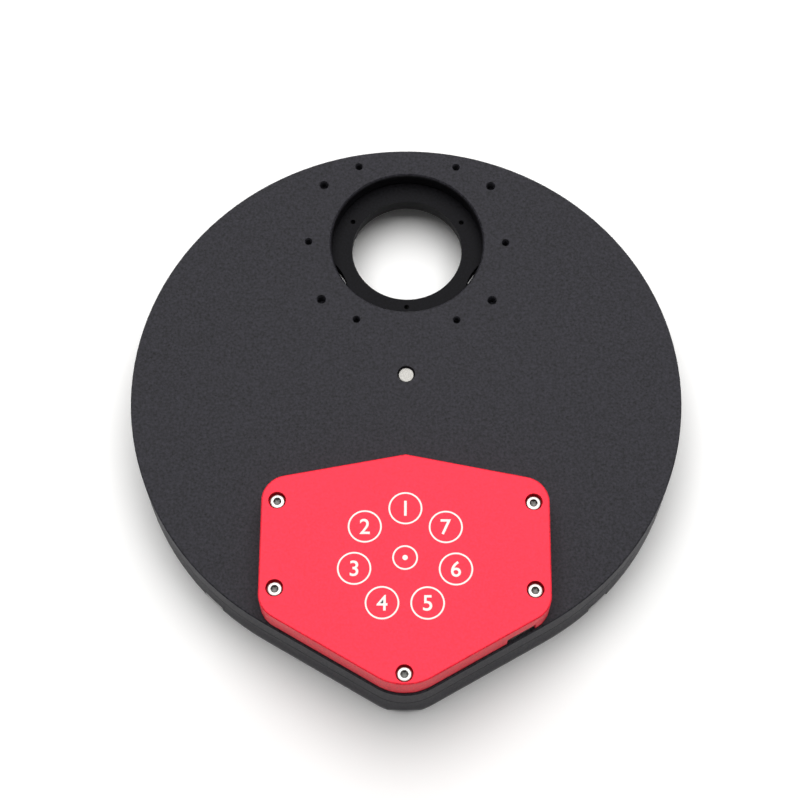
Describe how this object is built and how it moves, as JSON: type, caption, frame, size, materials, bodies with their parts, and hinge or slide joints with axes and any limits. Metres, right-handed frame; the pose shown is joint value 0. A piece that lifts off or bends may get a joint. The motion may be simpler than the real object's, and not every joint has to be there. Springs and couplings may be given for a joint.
{
  "type": "optical filter wheel",
  "caption": "Motorised filter wheel: a geared carousel turns round filters into the light path between a camera port and a telescope port.",
  "frame": {"origin": "on the optical axis, in the plane of the underside (telescope side)", "axes": "+Z along the optical axis towards the camera side, +Y from the carousel's axle towards the optical axis, +X to the right seen from the camera side with the ports up"},
  "size_m": [0.169, 0.1795, 0.031],
  "materials": {
    "black_anodised": "bead-blasted, black anodised",
    "red_anodised": "bead-blasted, red anodised",
    "clear_aluminium": "turned, clear anodised",
    "gear_aluminium": "hobbed, hard anodised",
    "stainless": "bright stainless",
    "bearing_steel": "ground",
    "motor_steel": "zinc-plated",
    "nickel_plate": "nickel-plated",
    "brass": "machined",
    "board_laminate": "solder mask",
    "black_plastic": "moulded",
    "white_plastic": "moulded"
  },
  "bodies": {
    "housing": {"upper_housing": "black_anodised", "lower_housing": "black_anodised", "housing_screws": "stainless", "wheel_axle": "stainless", "axle_screw": "stainless", "bearing_inner_rings": "bearing_steel", "bearing_spacer": "stainless", "retaining_clip": "stainless", "motor_can": "motor_steel", "motor_flange": "motor_steel", "motor_bushing": "brass", "motor_screws": "stainless", "motor_cover": "red_anodised", "cover_screws": "stainless", "control_board": "board_laminate", "board_standoffs": "brass", "board_screws": "stainless", "usb_socket": "nickel_plate", "usb_tongue": "black_plastic", "hall_sensor": "black_plastic", "controller_chip": "black_plastic", "driver_chip": "black_plastic", "clock_crystal": "nickel_plate", "motor_connector": "white_plastic"},
    "carousel": {"filter_carousel": "black_anodised", "ring_gear": "gear_aluminium", "carousel_hub": "clear_aluminium", "hub_screws": "stainless", "bearing_outer_rings": "bearing_steel", "home_magnet": "nickel_plate"},
    "pinion": {"drive_pinion": "brass", "motor_shaft": "stainless", "grub_screw": "stainless"},
    "bearing_cage": {"bearing_balls": "bearing_steel", "bearing_cages": "bearing_steel"}
  },
  "joints": [
    {"name": "carousel_spin", "type": "hinge", "parent": "housing", "child": "carousel", "pos_m": [0, -0.0455, 0.0123], "axis": [0, 0, 1], "continuous": true},
    {"name": "pinion_spin", "type": "hinge", "parent": "housing", "child": "pinion", "pos_m": [0, -0.12555, 0.0123], "axis": [0, 0, 1], "continuous": true},
    {"name": "cage_spin", "type": "hinge", "parent": "housing", "child": "bearing_cage", "pos_m": [0, -0.0455, 0.0123], "axis": [0, 0, 1], "continuous": true}
  ],
  "couplings": [
    {"joint": "pinion_spin", "follows": "carousel_spin", "ratio": -9},
    {"joint": "cage_spin", "follows": "carousel_spin", "ratio": 0.61111}
  ]
}
